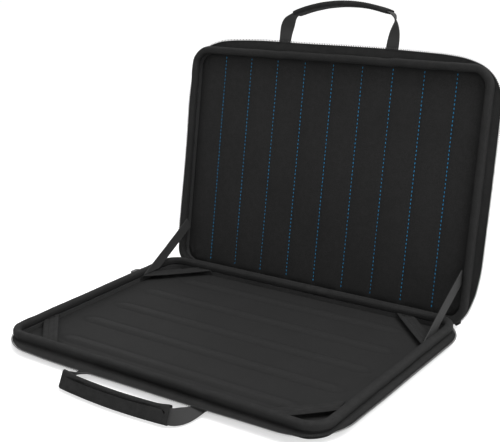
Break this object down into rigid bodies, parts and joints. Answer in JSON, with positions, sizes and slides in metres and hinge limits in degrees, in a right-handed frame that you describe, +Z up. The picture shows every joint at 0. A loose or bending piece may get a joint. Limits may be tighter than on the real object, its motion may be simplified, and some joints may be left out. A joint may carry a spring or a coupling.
{
  "type": "laptop hard case",
  "caption": "Zipped hard laptop case standing open: moulded fabric-covered halves, padded lid panel, corner elastics, side stays and two carrying handles.",
  "frame": {"origin": "centre of the base half's outer face, where it lies on the floor", "axes": "+X to the right seen from the front, +Y from the front edge to the hinge, +Z up out of the base half"},
  "size_m": [0.375, 0.3738, 0.2984],
  "materials": {
    "shell_fabric": "black woven polyester moulded over foam",
    "foam": "dark closed-cell foam",
    "base_panel_fabric": "smooth black knit over a pressed panel",
    "lid_panel_fabric": "black knit with blue stitch lines",
    "binding": "black fabric binding",
    "lining": "black lining fabric",
    "sleeve_fabric": "black woven cover",
    "webbing": "black ribbed webbing",
    "zip_plastic": "black moulded coil",
    "slider_metal": "black painted metal"
  },
  "bodies": {
    "base": {"base_shell": "shell_fabric", "base_foam": "foam", "base_panel": "base_panel_fabric", "base_side_lining": "lining", "base_rim_binding": "binding", "base_rim_cord": "foam", "base_rim_join": "binding", "base_zip_tape": "webbing", "base_zip_coil": "zip_plastic", "base_zip_ends": "lining", "elastic_front_left": "webbing", "elastic_front_right": "webbing", "elastic_back_left": "webbing", "elastic_back_right": "webbing", "hinge_fabric": "lining", "stay_left": "webbing", "stay_right": "webbing"},
    "lid": {"lid_shell": "shell_fabric", "lid_foam": "foam", "lid_panel": "lid_panel_fabric", "lid_side_lining": "lining", "lid_rim_binding": "binding", "lid_rim_cord": "foam", "lid_rim_join": "binding", "lid_zip_tape": "webbing", "lid_zip_coil": "zip_plastic", "lid_zip_ends": "lining"},
    "base_handle": {"base_handle_strap": "webbing", "base_handle_sleeve": "sleeve_fabric"},
    "lid_handle": {"lid_handle_strap": "webbing", "lid_handle_sleeve": "sleeve_fabric"},
    "slider": {"zip_slider": "slider_metal"},
    "pull": {"zip_pull": "slider_metal"}
  },
  "joints": [
    {"name": "lid_hinge", "type": "hinge", "parent": "base", "child": "lid", "pos_m": [0, 0.1208, 0.0087], "axis": [1, 0, 0], "range_deg": [0, 101], "deforming": ["hinge_fabric", "stay_left", "stay_right"]},
    {"name": "base_handle_swing", "type": "hinge", "parent": "base", "child": "base_handle", "pos_m": [0, -0.1223, 0.0046], "axis": [1, 0, 0], "range_deg": [-3, 90]},
    {"name": "lid_handle_swing", "type": "hinge", "parent": "lid", "child": "lid_handle", "pos_m": [0, 0.19025, 0.24285], "axis": [1, 0, 0], "range_deg": [-90, 3]},
    {"name": "zip_slide", "type": "slide", "parent": "base", "child": "slider", "axis": [0, -1, 0], "range_m": [-0.006, 0.155]},
    {"name": "pull_swing", "type": "hinge", "parent": "slider", "child": "pull", "pos_m": [-0.1854, 0.074, 0.005], "axis": [1, 0, 0], "range_deg": [0, 170]}
  ]
}
